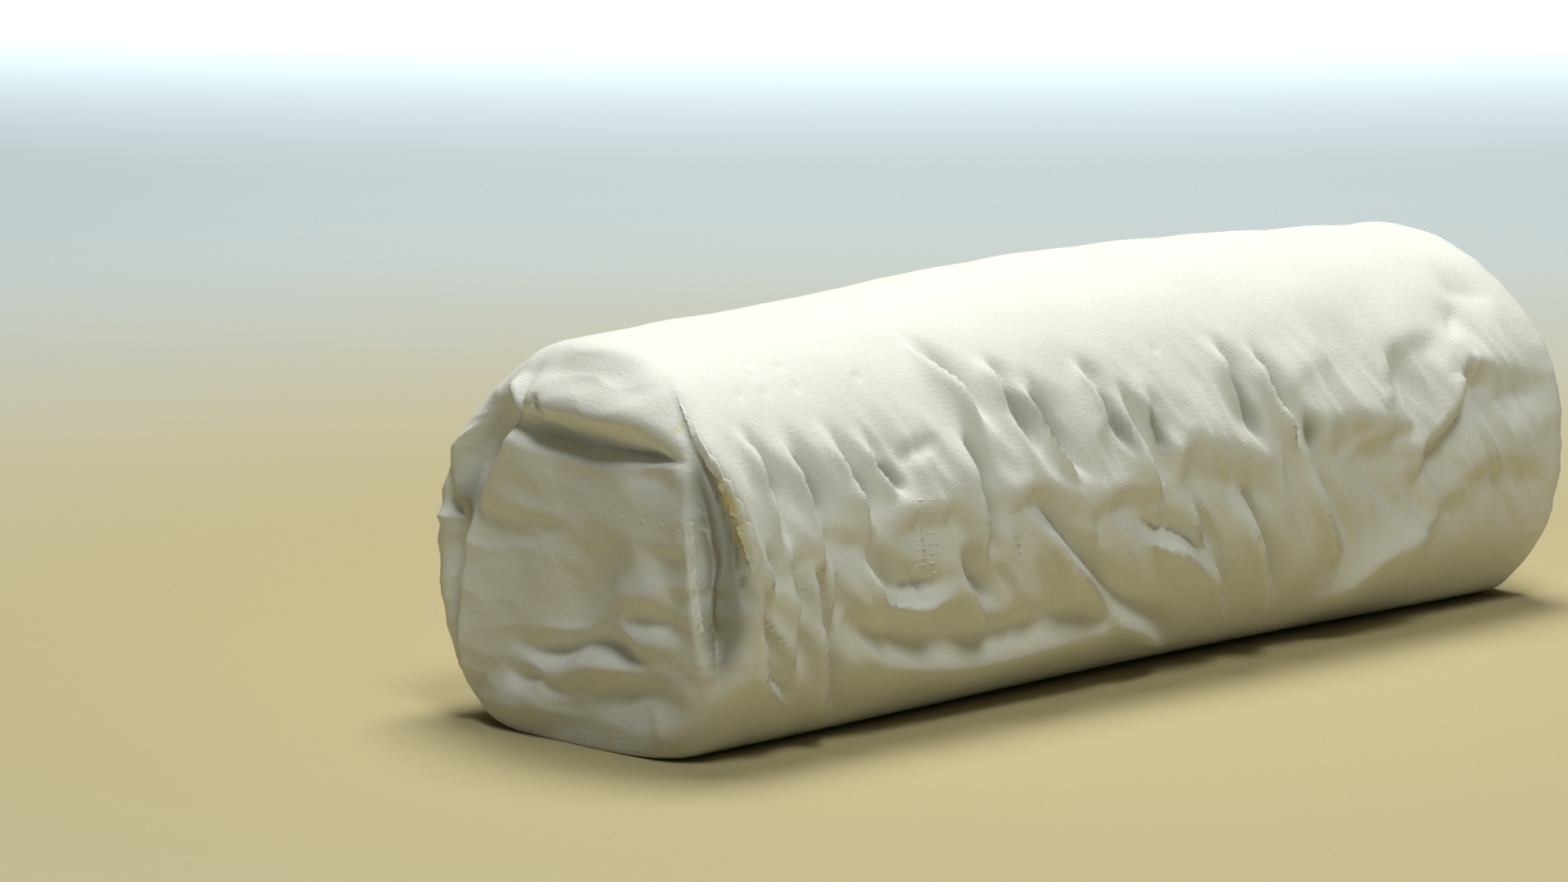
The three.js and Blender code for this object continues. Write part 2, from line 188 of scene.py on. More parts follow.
END_FOLDS = [
    # the top flap, rolled over the end, and the deep tuck below it
    Fold(-0.8, 3.6, 3.6, [(11, 42.4), (3, 43.8), (-6, 43.2), (-16, 40.8)], None, 1.5),
    Fold(1.6, 6.5, 3.0, [(8, 39.2), (0, 39.4), (-9, 38.9), (-20.6, 38)], 3, 0.6),
    Fold(-3.4, 3.8, 1.5, [(9, 36.6), (2, 35.2), (-8, 34.9), (-20.4, 35.2)], 3, 0.3),
    Fold(1.6, 3.4, 1.6, [(12.6, 43), (9.2, 40.6), (6.4, 38.4), (3.4, 36.8)]),
    Fold(-1.6, 1.2, 1.2, [(5, 39.8), (4, 39), (3, 38)], 0.5),
    # the left edge of the bottom flap, and the valley between it and the left flap
    Fold(2.4, 12.0, 3.2, [(2.4, 38.6), (6.6, 36.2), (10.2, 32.8), (13.2, 28.8), (16, 24)]),
    Fold(1.8, 10.0, 2.8, [(14.6, 28), (16.8, 20), (17.8, 10), (18.4, 0)]),
    Fold(-3.6, 3.2, 6.0, [(7.8, 40.2), (11.4, 36.4), (15, 31.6), (18.2, 25)], None, 1.2),
    Fold(-2.2, 2.8, 3.0, [(17.6, 29), (19.4, 20), (20.2, 8)], None, 0.6),
    # creases of the left flap
    Fold(0.9, 2.1, 2.4, [(15.5, 37), (19, 34.4), (20.5, 33), (22.4, 29)]),
    Fold(-1.1, 1.8, 2.1, [(22, 30.5), (20.4, 25.5), (17, 23)]),
    Fold(1.0, 2.7, 2.7, [(25, 24), (22.5, 24), (20, 24.6)]),
    Fold(0.9, 1.6, 1.6, [(16.6, 23.6), (18, 21), (19.4, 17)]),
    # dents across the bottom flap
    Fold(-0.5, 4.5, 3.0, [(14, 29), (5, 28.4), (-5, 27.6)], None, 1.5),
    Fold(0.4, 1.5, 1.5, [(15.5, 27), (8, 27), (0, 26.4)]),
    Fold(-0.8, 2.8, 4.5, [(15.6, 23.8), (7, 25), (-2, 25.3)], None, 1.5),
    Fold(-2.0, 6.5, 6.5, [(-8, 28), (-5.4, 21.5), (-1, 16.6), (6, 14)], None, 2.5),
    Fold(1.0, 2.7, 4.5, [(-4, 17), (-10, 18.8), (-20, 19.2)], None, 1.2),
    Fold(-0.8, 2.1, 2.4, [(-6, 16.4), (-14, 16.2), (-22, 15.8)], None, 1.0),
    Fold(0.7, 2.7, 2.7, [(-5, 13.6), (-12, 14.6), (-21.4, 14.2)], None, 1.0),
    Fold(-0.8, 2.4, 3.0, [(-8, 32.6), (-14, 32.4), (-19.5, 32)], None, 1.2),
    Fold(-0.7, 2.2, 2.8, [(-11, 24), (-16, 23.4), (-21, 22.6)], None, 1.2),
    Fold(-2.0, 3.6, 2.2, [(11, 10.6), (3, 10.4), (-2, 12), (-7, 12.6), (-15, 11)], None, 0.8),
    Fold(1.2, 1.8, 4.5, [(10, 8.8), (2, 8.8), (-3, 10), (-8, 10.2), (-15, 9.4)], None, 0.5),
    Fold(1.3, 6.0, 3.5, [(19, 3), (12, 3.6), (5, 4.2), (-2, 6)], None, 1.5),
    Fold(-0.9, 2.1, 1.8, [(11.6, 7.6), (7.4, 6.8), (3, 7.6)], None, 0.4),
    Fold(-1.1, 3.3, 4.5, [(-2, 5.6), (-8, 7), (-15, 7.4), (-21, 6)], None, 1.2),
    # the right edge of the bottom flap and the strip sunk beside it
    Fold(1.0, 1.1, 7.5, [(-18.6, 37), (-19.8, 30), (-21, 20), (-22, 14), (-24.2, 7)]),
    Fold(-1.9, 7.0, 1.7, [(-20.2, 38), (-21.4, 29), (-22.6, 19), (-23.8, 12), (-25.4, 5)], None, 0.5),
    Fold(1.0, 1.6, 2.2, [(-25.4, 27), (-24.6, 23), (-23.6, 19), (-23.4, 14)], None, 0.3),
]

# A lap is a free edge of the rind along a path: it stands off the log by its lift, sinks into it within
# its reach, which lies on the side of a fold's first width, and its edge is frayed. The head is the
# length over which it comes off the log, where that differs from its tail.
Lap = namedtuple("Lap", "lift reach fray path head", defaults=[None])

SIDE_LAPS = [
    Lap(0.4, 4.0, 0.8, [(-70, 80), (-72.4, 70), (-74.6, 58), (-76, 48), (-76.5, 39), (-75.8, 29),
                        (-74.8, 16), (-73.8, 2), (-72.6, -10)], 24),
]

END_LAPS = [
    Lap(0.35, 3.0, 0.9, [(-25.4, 6), (-24.3, 10), (-22.7, 15), (-21.8, 20), (-21, 26), (-20.2, 31),
                         (-19.2, 37)]),
]

# Rows of small bumps, the cast of the wrapper's seams: how many, their size and how far they are drawn out
Row = namedtuple("Row", "count size stretch path")

SIDE_ROWS = [
    Row(9, 0.15, 7, [(-46.8, 15), (-46.2, 5), (-45.8, -5)]),
    Row(8, 0.15, 7, [(-44, 12), (-43.4, 2), (-43, -8)]),
    Row(6, 0.14, 7, [(-31, -2), (-29.8, -8), (-28.6, -14)]),
    Row(5, 0.14, 7, [(-41, -25), (-39.6, -29), (-38, -33)]),
]

END_ROWS = [
    Row(12, 0.34, 1, [(0, 38.6), (-5, 38.5), (-12, 37.9)]),
    Row(6, 0.42, 1, [(-3.5, 28), (-11, 27.8), (-19, 27.4)]),
    Row(5, 0.34, 1, [(2, 22.4), (-3, 22.2), (-9, 22)]),
]

# Yellowed marks, as folds whose rise is how yellow they are
SIDE_STAINS = [
    Fold(1.3, 1.6, 1.8, [(-75.4, 36), (-74.8, 26), (-74, 15), (-73, 2)]),
    Fold(0.5, 1.8, 1.8, [(-72.6, -4), (-71.4, -16), (-70, -26)]),
]

END_STAINS = [
    Fold(1.0, 2.4, 2.4, [(11.4, 41.6), (10.6, 41.2), (9.6, 40.8)], 0.5),
    Fold(0.8, 2.1, 2.1, [(-16.4, 39.8), (-17.2, 39.4), (-18, 39)], 0.5),
    Fold(0.5, 1.8, 1.8, [(-6, 1.6), (-7, 1.4), (-8, 1.5)], 0.5),
    Fold(0.5, 1.8, 1.8, [(-16, 1.6), (-17, 1.4), (-18, 1.5)], 0.5),
    Fold(0.4, 1.5, 1.5, [(18.4, 31), (19.4, 29.6), (20, 28)], 0.5),
]

# Where the rind is painted grey: on the strip sunk beside the end, and as painted shade in the recess that
# the flaps overhang
SIDE_GREYED = [
    Fold(2.0, 1.6, 4.0, [(-77, 44), (-76.8, 30), (-75.8, 14), (-74.8, 0), (-73.4, -14)], None, 1.0),
]

END_GREYED_AND_PAINTED_SHADE = [
    Fold(2.0, 6.0, 2.6, [(-21.4, 38), (-22.6, 30), (-23.6, 22), (-24.6, 13), (-26, 6)], None, 1.0),
    # painted shade in the recess under the top flap and the left flap
    Fold(1.0, 2.2, 4.4, [(8, 39.8), (11.6, 36), (15.2, 31.2), (18.2, 25), (19.4, 18)], None, 1.0),
]

LOG = "goat_cheese_log"
HALF_TURN = (-1, -1, 1)
TINY = 1e-9

# The grid that is rounded to the log: a face is on its near end where its outward X is below this
NEAR_END_FACING = -0.5
MERGE_DISTANCE = 1e-5

# Where the loose pleats lie on the side, by angle in degrees and by x, and how far they slant: x for each
# millimetre round the log, above and below the middle
PLEATS_TOP = (16.0, 50.0)
PLEATS_FOOT = (-34.0, -10.0)
PLEATS_END = (69.0, 76.0)
UPPER_SLANT = 0.25
LOWER_SLANT = 0.75
SLANT_TURN = 5.0

# The noise of the pleats, creases and lumps: how far off the hidden side lies in it, over which heights
# it starts, how it turns to ridges, and how much longer than its spacing a ridge is
HIDDEN_SHIFT = 200.0
CREASES_FOOT = (1.0, 4.0)
WRINKLE_SEED = 3.7
NOISE_MIDDLE = 0.5
RIDGE_NOISE = {"Scale": 1.0, "Detail": 0.6, "Roughness": 0.4, "Distortion": 0.35}
RIDGE_MEAN = 0.35
RIDGE_SPREAD = 4.0
PLEAT_STRETCH = 3.6
END_STRETCH = 2.0
LUMP_DETAIL = 1.5

# Lapped edges, with lengths in millimetres
LAP_STEP = 0.25
LAP_COLUMNS = 14
LAP_CROWDING = 1.4
LAP_HELD = 1.2
LAP_THICK = 0.35
LAP_FADE = 10.0
LAP_HOLLOW = 1.2
LAP_SINK = 0.3
FRAY_SIZE = 0.9
FRAY_DETAIL = 4.0
FRAY_ROUGHNESS = 0.7

# Bumps: how much they differ in size, and the share of their size that is sunk
BUMP_STRAY = 0.2
BUMP_SUNK = 0.75
BALL_SEGMENTS = 12
BALL_RINGS = 8

# Grain of the rind and patches of its marks, with sizes in millimetres. The grain of real bloom is finer,
# and is drawn as coarse as it needs to be to show.
GRAIN_SIZE = 0.45
GRAIN_HEIGHT = 0.12
GRAIN_DETAIL = 3.0
GRAIN_ROUGHNESS = 0.6
GRAIN_STRENGTH = 0.6
MARK_SIZE = 1.5
MARK_DETAIL = 3.0
MARK_CUT = (0.3, 0.5)

# Finish of the rind: matt, and light goes a little way into it
RIND_FINISH = {
    "Roughness": 0.7,
    "Subsurface Weight": 0.08,
    "Subsurface Radius": (1.0, 0.95, 0.7),
    "Subsurface Scale": 0.8 * MM,
}

# Sockets of a Mix node that mixes two colours
FIRST_COLOUR = 6
SECOND_COLOUR = 7
MIXED_COLOUR = 2

# The stage, in metres and watts, with the camera's sensor in millimetres
FLOOR_HALF = 4.0
FLOOR_PALES = (0.10, 0.55)
FLOOR_ROUGHNESS = 0.8
SENSOR = 36.0
CLIP_START = 0.01
CAMERA_AIM = (-0.04298, 0.0, 0.03173)
ROOM_COLOUR = "dfe6e8"
ROOM_STRENGTH = 0.06
Lamp = namedtuple("Lamp", "name place aim size watts colour")
LAMPS = (
    Lamp("key", (0.10, 0.09, 0.63), (0.02, 0, 0.03), 0.3, 4.4, "fefffb"),
    Lamp("fill", (-0.31, -0.50, 0.94), (-0.02, 0, 0.03), 0.3, 5.2, "f6fcfb"),
    Lamp("backdrop", (1.0, 1.0, 0.9), (1.5, 1.5, 0.0), 0.8, 35.0, "f2fbff"),
)


def ease(low, high, value):
    """Rises smoothly from 0 at low to 1 at high."""
    share = np.clip((value - low) / (high - low), 0, 1)
    return share * share * (3 - 2 * share)


def stationed(sizes, x):
    """A size along the log, from its near end by its middle to its far end."""
    near, middle, far = sizes
    return near + (middle - near) * ease(*NEAR_EASE, x) + (far - middle) * ease(*FAR_EASE, x)


def footed(z):
    """Height above the ground, eased to a flat foot."""
    rounded = (z + FOOT_ROUND) ** 2 / (4 * FOOT_ROUND)
    return np.where(z > FOOT_ROUND, z, np.where(z < -FOOT_ROUND, 0.0, rounded))


def sagged(turn):
    """How the radius grows below the axis, where the soft log has settled towards a square."""
    across = np.abs(np.cos(turn))
    below = np.maximum(-np.sin(turn), 0)
    settled = (across ** SAG + below ** SAG) ** (-1 / SAG)
    return np.where(np.sin(turn) < 0, settled, 1.0)


def surface_points(x, share, turn, half_length):
    """Points of the plain log for places along it, shares of its radius and turns from +Y to +Z."""
    radius = stationed(RADIUS, x) * sagged(turn)
    axis = stationed(AXIS_HEIGHT, x)
    rim = RIM_ROUND + (TOP_RIM_ROUND - RIM_ROUND) * ease(*TOP_RIM_EASE, np.sin(turn))
    core_x = np.clip(x, rim - half_length, half_length - rim)
    core_r = np.minimum(share * radius, radius - rim)
    out_x = x - core_x
    out_r = share * radius - core_r
    scale = rim / np.maximum(np.hypot(out_x, out_r), TINY)
    r = core_r + out_r * scale
    dome = END_DOME * np.sign(out_x) * (1 - (r / radius) ** 2)
    heights = footed(axis + r * np.sin(turn))
    return np.stack([core_x + out_x * scale + dome, r * np.cos(turn), heights], axis=-1)


def on_side(path, half_length):
    """Points of the log for (x, angle) places on its side."""
    x, angle = np.array(path, float).T
    return surface_points(x, np.ones_like(x), math.pi - np.radians(angle), half_length)


def on_end(path, half_length):
    """Points of the log for (y, z) places on its near end."""
    y, z = np.array(path, float).T
    x = np.full_like(y, -half_length)
    rise = z - stationed(AXIS_HEIGHT, x)
    turn = np.arctan2(rise, y)
    share = np.minimum(np.hypot(y, rise) / (stationed(RADIUS, x) * sagged(turn)), 1)
    return surface_points(x, share, turn, half_length)


def smooth_path(path):
    """A smooth curve through the points of a path, a cubic between each two."""
    p = np.array(path, float)
    p = np.vstack([2 * p[0] - p[1], p, 2 * p[-1] - p[-2]])
    t = np.linspace(0, 1, STEPS_ALONG_FOLD, endpoint=False)[:, None]
    spans = []
    for a, b, c, d in zip(p, p[1:], p[2:], p[3:]):
        span = 2 * b + (c - a) * t + (2 * a - 5 * b + 4 * c - d) * t ** 2 + (3 * b - a - 3 * c + d) * t ** 3
        spans.append(span / 2)
    return np.vstack(spans + [p[-2:-1]])


def creased(crease):
    """The crest and the valley of one crease of the side."""
    per_unit = np.array([1, math.radians(RADIUS[1])])
    run = np.gradient(np.array(crease.path, float) * per_unit, axis=0)
    run /= np.linalg.norm(run, axis=1)[:, None]
    beside = crease.path + crease.gap * np.stack([-run[:, 1], run[:, 0]], axis=1) / per_unit
    steep = abs(crease.gap)
    wide = crease.spread * steep
    widths = (steep, wide) if crease.gap > 0 else (wide, steep)
    return [Fold(crease.rise, *widths, crease.path, None, crease.round),
            Fold(-crease.rise, *widths[::-1], beside, None, crease.round)]


def stray(index):
    """An even spread of values from -1 to 1, the same on each run."""
    return 2 * ((index * GOLDEN_SHARE) % 1) - 1


def placed(side_items, end_items, half_length):
    """Each item with its curve in space: the shown half as listed, the hidden half turned about Z."""
    curves = []
    for i, item in enumerate(side_items):
        curves.append((item, on_side(smooth_path(item.path), half_length)))
        along = STRAY_ALONG * stray(2 * i)
        turned = STRAY_ANGLE * stray(2 * i + 1)
        path = [(x + along, angle + turned) for x, angle in item.path]
        curves.append((item, on_side(smooth_path(path), half_length) * HALF_TURN))
    for i, item in enumerate(end_items):
        curves.append((item, on_end(smooth_path(item.path), half_length)))
        left = STRAY_ON_END * stray(2 * i)
        up = STRAY_ON_END * stray(2 * i + 1)
        path = [(y + left, z + up) for y, z in item.path]
        curves.append((item, on_end(smooth_path(path), half_length) * HALF_TURN))
    return curves


def fold_share(points, normals, fold, curve):
    """The points that one fold reaches, and the share of its rise that each of them gets."""
    reach = max(fold.width, fold.other_width)
    close = np.all((points > curve.min(0) - reach) & (points < curve.max(0) + reach), axis=1).nonzero()[0]
    if not len(close):
        return close, np.zeros(0)
    start = curve[:-1]
    step = curve[1:] - start
    lengths = np.linalg.norm(step, axis=1)
    before = np.concatenate([[0], np.cumsum(lengths)[:-1]])
    offset = points[close][:, None, :] - start[None]
    share = np.clip((offset * step).sum(-1) / (lengths ** 2), 0, 1)
    gap = offset - share[..., None] * step
    distance = np.linalg.norm(gap, axis=-1)
    best = distance.argmin(1)
    row = np.arange(len(close))
    across = np.cross(normals[close], step[best])
    side = (gap[row, best] * across).sum(-1)
    along = before[best] + share[row, best] * lengths[best]
    total = lengths.sum()
    fade = min(TIP_FADE, TIP_FADE_SHARE * total)
    tips = ease(0, fold.head or fade, along) * ease(0, fade, total - along)
    width = np.where(side > 0, fold.width, fold.other_width) * (TIP_WIDTH + (1 - TIP_WIDTH) * tips)
    rounded = np.hypot(distance[row, best], fold.round) - fold.round
    flank = np.clip(1 - rounded / width, 0, 1) ** FLANK_HOLLOW
    return close, tips * flank


def fold_heights(points, normals, curves):
    """How far placed folds lift each point: crests that meet blend and don't pile up, nor do valleys."""
    crests = np.zeros(len(points))
    valleys = np.zeros(len(points))
    for fold, curve in curves:
        close, share = fold_share(points, normals, fold, curve)
        blended = crests if fold.rise > 0 else valleys
        blended[close] += np.abs(fold.rise * share) ** BLEND
    return crests ** (1 / BLEND) - valleys ** (1 / BLEND)


def round_from_square(y, z):
    """A square of side 2 turned into a round: its rings become circles, its rays keep an even spread."""
    share = np.maximum(np.abs(y), np.abs(z))
    flat = np.abs(y) >= np.abs(z)
    safe_y = np.where(flat & (share > 0), y, 1)
    safe_z = np.where(flat, 1, z)
    quarter = math.pi / 4
    level = quarter * z / safe_y + np.where(y < 0, math.pi, 0)
    upright = math.pi / 2 - quarter * y / safe_z + np.where(z < 0, math.pi, 0)
    return share, np.where(flat, level, upright)


def linear(hex_colour):
    """An sRGB hex colour as linear red, green, blue and alpha."""
    channels = [int(hex_colour[i:i + 2], 16) / 255 for i in (0, 2, 4)]
    return [c / 12.92 if c <= 0.04045 else ((c + 0.055) / 1.055) ** 2.4 for c in channels] + [1.0]


def add_node(tree, kind, settings=None, inputs=None):
    """Adds a node, sets its properties, and sets or links its inputs."""
    node = tree.nodes.new(kind)
    for key, value in (settings or {}).items():
        setattr(node, key, value)
    for key, value in (inputs or {}).items():
        if isinstance(value, bpy.types.NodeSocket):
            tree.links.new(value, node.inputs[key])
        else:
            node.inputs[key].default_value = value
    return node


def maths(tree, operation, *values):
    """Adds a Math node and gives its result."""
    return add_node(tree, "ShaderNodeMath", {"operation": operation}, dict(enumerate(values))).outputs[0]


def attribute(tree, name, kind="FLOAT"):
    """Reads a mesh's named attribute in a Geometry Nodes tree."""
    node = add_node(tree, "GeometryNodeInputNamedAttribute", {"data_type": kind}, {"Name": name})
    return node.outputs["Attribute"]


def new_tree(name, sockets):
    """A Geometry Nodes tree with named inputs, and the identifier of each."""
    tree = bpy.data.node_groups.new(name, "GeometryNodeTree")
    tree.interface.new_socket("Geometry", in_out="OUTPUT", socket_type="NodeSocketGeometry")
    tree.interface.new_socket("Geometry", in_out="INPUT", socket_type="NodeSocketGeometry")
    identifiers = {}
    for label, kind in sockets.items():
        identifiers[label] = tree.interface.new_socket(label, in_out="INPUT", socket_type=kind).identifier
    return tree, identifiers, add_node(tree, "NodeGroupInput").outputs


def apply_tree(obj, tree, identifiers, values):
    """Runs a tree on an object with the given inputs and keeps the plain mesh that it makes."""
    modifier = obj.modifiers.new(tree.name, "NODES")
    modifier.node_group = tree
    for label, value in values.items():
        modifier[identifiers[label]] = value
    depsgraph = bpy.context.evaluated_depsgraph_get()
    mesh = bpy.data.meshes.new_from_object(obj.evaluated_get(depsgraph))
    obj.modifiers.clear()
    obj.data = mesh


def new_object(name, points=(), faces=()):
    """An object at the origin with a mesh of the given points, in metres."""
    mesh = bpy.data.meshes.new(name)
    mesh.from_pydata(points, [], faces)
    obj = bpy.data.objects.new(name, mesh)
    bpy.context.collection.objects.link(obj)
    return obj


def coordinates(obj):
    """The points of an object's mesh."""
    values = np.empty(len(obj.data.vertices) * 3)
    obj.data.vertices.foreach_get("co", values)
    return values.reshape(-1, 3)


def vertex_normals(obj):
    """The outward direction at each point of an object's mesh."""
    values = np.empty(len(obj.data.vertices) * 3, dtype=np.float32)
    obj.data.vertex_normals.foreach_get("vector", values)
    return values.reshape(-1, 3).astype(float)


def set_coordinates(obj, points):
    """Moves the points of an object's mesh."""
    obj.data.vertices.foreach_set("co", points.ravel())
    obj.data.update()


def store(obj, name, values):
    """Keeps a number or a vector for each point of an object's mesh."""
    vectors = values.ndim > 1
    layer = obj.data.attributes.new(name, "FLOAT_VECTOR" if vectors else "FLOAT", "POINT")
    layer.data.foreach_set("vector" if vectors else "value", values.astype(np.float32).ravel())


class RindSettings(bpy.types.PropertyGroup):
    """Sizes and colours of the log."""
    length: bpy.props.FloatProperty(
        name="Length", description="Length of the log before its folds", default=0.156, unit="LENGTH")
    cells_along: bpy.props.IntProperty(
        name="Cells along", description="Faces along the log", default=300)
    cells_across: bpy.props.IntProperty(
        name="Cells across", description="Faces along each quarter of the round", default=64)
    pleat_spacing: bpy.props.FloatProperty(
        name="Pleat spacing", description="Distance between the side's loose pleats",
        default=0.007, unit="LENGTH")
    pleat_depth: bpy.props.FloatProperty(
        name="Pleat depth", description="Depth of the side's loose pleats", default=0.0012, unit="LENGTH")
    crease_spacing: bpy.props.FloatProperty(
        name="Crease spacing", description="Distance between the side's fine creases",
        default=0.0032, unit="LENGTH")
    crease_depth: bpy.props.FloatProperty(
        name="Crease depth", description="Depth of the side's fine creases", default=0.0005, unit="LENGTH")
    end_spacing: bpy.props.FloatProperty(
        name="End spacing", description="Distance between the ends' creases", default=0.0055, unit="LENGTH")
    end_depth: bpy.props.FloatProperty(
        name="End depth", description="Depth of the ends' creases", default=0.0004, unit="LENGTH")
    lump_spacing: bpy.props.FloatProperty(
        name="Lump spacing", description="Distance between the broad lumps", default=0.016, unit="LENGTH")
    lump_depth: bpy.props.FloatProperty(
        name="Lump depth", description="Depth of the broad lumps", default=0.0012, unit="LENGTH")
    bloom: bpy.props.StringProperty(
        name="Bloom", description="Colour of the white rind, as sRGB hex", default="dcdcd3")
    aged: bpy.props.StringProperty(
        name="Aged", description="Colour of the yellowed marks, as sRGB hex", default="d2c386")
    # Painted shade: this grey stands in for the shade of the deep slots and of the recess under the flaps,
    # and it also greys the sunk strip beside the end
    bare: bpy.props.StringProperty(
        name="Grey and painted shade", description="Colour of the rind where its bloom is thin, as sRGB hex", default="979689")


def grid_tree():
    """A box of small squares, the log's surface before it is rounded, with finer squares on its near end."""
    tree, identifiers, given = new_tree("log_grid", {
        "Cells along": "NodeSocketInt", "Cells across": "NodeSocketInt"})
    along = maths(tree, "ADD", given["Cells along"], 1.0)
    across = maths(tree, "ADD", given["Cells across"], 1.0)
    cube = add_node(tree, "GeometryNodeMeshCube", None, {
        "Size": (2, 2, 2), "Vertices X": along, "Vertices Y": across, "Vertices Z": across})
    normal = add_node(tree, "GeometryNodeInputNormal")
    parts = add_node(tree, "ShaderNodeSeparateXYZ", None, {0: normal.outputs[0]})
    is_near_end = maths(tree, "LESS_THAN", parts.outputs["X"], NEAR_END_FACING)
    split = add_node(tree, "GeometryNodeSeparateGeometry", {"domain": "FACE"}, {
        "Geometry": cube.outputs["Mesh"], "Selection": is_near_end})
    finer = add_node(tree, "GeometryNodeSubdivideMesh", None, {
        "Mesh": split.outputs["Selection"], "Level": 1})
    joined = add_node(tree, "GeometryNodeJoinGeometry")
    tree.links.new(split.outputs["Inverted"], joined.inputs[0])
    tree.links.new(finer.outputs[0], joined.inputs[0])
    merged = add_node(tree, "GeometryNodeMergeByDistance", None, {
        "Geometry": joined.outputs[0], "Distance": MERGE_DISTANCE})
    add_node(tree, "NodeGroupOutput", None, {0: merged.outputs[0]})
    return tree, identifiers


def seam_points(box, cells_across):
    """Points of the finer end that lie between two points of the side, and those two neighbours."""
    steps = np.rint((box + 1) * cells_across).astype(int)
    on_rim = (np.abs(box[:, 0]) > 1 - MERGE_DISTANCE) & (np.abs(box[:, 1:]).max(1) > 1 - MERGE_DISTANCE)
    index = {tuple(steps[i]): i for i in on_rim.nonzero()[0]}
    rows = []
    for place, i in index.items():
        for axis in (1, 2):
            if place[axis] % 2:
                before = list(place)
                after = list(place)
                before[axis] -= 1
                after[axis] += 1
                rows.append((i, index[tuple(before)], index[tuple(after)]))
    return np.array(rows).T


def ridged(tree, across, along, spacing, length, depth, layer):
    """Heights of ridged noise: sharp crests with rounded valleys, longer one way than the other."""
    vector = add_node(tree, "ShaderNodeCombineXYZ", None, {
        "X": maths(tree, "DIVIDE", across, spacing), "Y": maths(tree, "DIVIDE", along, length), "Z": layer})
    noise = add_node(tree, "ShaderNodeTexNoise", {"noise_dimensions": "3D"}, {
        "Vector": vector.outputs[0], **RIDGE_NOISE})
    gap = maths(tree, "ABSOLUTE", maths(tree, "SUBTRACT", noise.outputs[0], NOISE_MIDDLE))
    drop = maths(tree, "SUBTRACT", RIDGE_MEAN, maths(tree, "MULTIPLY", gap, RIDGE_SPREAD))
    return maths(tree, "MULTIPLY", drop, depth)


def wrinkle_tree():
    """Lifts a mesh along its normals: pleats and fine creases on the side, creases on the ends, lumps."""
    labels = ("Pleat spacing", "Pleat depth", "Crease spacing", "Crease depth", "End spacing", "End depth",
              "Lump spacing", "Lump depth", "Seed")
    tree, identifiers, given = new_tree("wrinkles", {label: "NodeSocketFloat" for label in labels})
    across = attribute(tree, "across")
    along = attribute(tree, "along")
    heights = []
    for name in ("Pleat", "Crease"):
        spacing = given[name + " spacing"]
        length = maths(tree, "MULTIPLY", spacing, PLEAT_STRETCH)
        layer = maths(tree, "ADD", given["Seed"], float(len(heights)))
        rise = ridged(tree, across, along, spacing, length, given[name + " depth"], layer)
        heights.append(maths(tree, "MULTIPLY", rise, attribute(tree, "pleated")))
    place = add_node(tree, "GeometryNodeInputPosition")
    parts = add_node(tree, "ShaderNodeSeparateXYZ", None, {0: place.outputs[0]})
    spacing = given["End spacing"]
    length = maths(tree, "MULTIPLY", spacing, END_STRETCH)
    rise = ridged(tree, parts.outputs["Z"], parts.outputs["Y"], spacing, length,
                  given["End depth"], given["Seed"])
    heights.append(maths(tree, "MULTIPLY", rise, attribute(tree, "end_face")))
    lump_scale = maths(tree, "DIVIDE", 1.0, given["Lump spacing"])
    lumps = add_node(tree, "ShaderNodeTexNoise", None, {
        "Vector": place.outputs[0], "Scale": lump_scale, "Detail": LUMP_DETAIL})
    swing = maths(tree, "SUBTRACT", lumps.outputs[0], NOISE_MIDDLE)
    rise = maths(tree, "MULTIPLY", swing, given["Lump depth"])
    heights.append(maths(tree, "MULTIPLY", rise, attribute(tree, "raised")))
    total = heights[0]
    for rise in heights[1:]:
        total = maths(tree, "ADD", total, rise)
    normal = add_node(tree, "GeometryNodeInputNormal")
    offset = add_node(tree, "ShaderNodeVectorMath", {"operation": "SCALE"}, {
        0: normal.outputs[0], "Scale": total})
    moved = add_node(tree, "GeometryNodeSetPosition", None, {
        "Geometry": given["Geometry"], "Offset": offset.outputs[0]})
    add_node(tree, "NodeGroupOutput", None, {0: moved.outputs[0]})
    return tree, identifiers


def mark_wrinkles(log, points):
    """Gives each point its place in the field of pleats and how far the pleats reach there."""
    x, y, z = points.T
    angle = np.arctan2(z - stationed(AXIS_HEIGHT, x), np.abs(y))
    along = angle * stationed(RADIUS, x)
    mean = (UPPER_SLANT + LOWER_SLANT) / 2
    turn = (LOWER_SLANT - UPPER_SLANT) / 2
    slant = mean * along - turn * np.hypot(along, SLANT_TURN)
    store(log, "across", (np.where(y < 0, x, HIDDEN_SHIFT - x) + slant) * MM)
    store(log, "along", along * MM)
    degrees = np.degrees(angle)
    side = 1 - ease(*PLEATS_END, np.abs(x))
    store(log, "pleated", side * (1 - ease(*PLEATS_TOP, degrees)) * ease(*PLEATS_FOOT, degrees))
    raised = ease(*CREASES_FOOT, z)
    store(log, "end_face", (1 - side) * raised)
    store(log, "raised", raised)


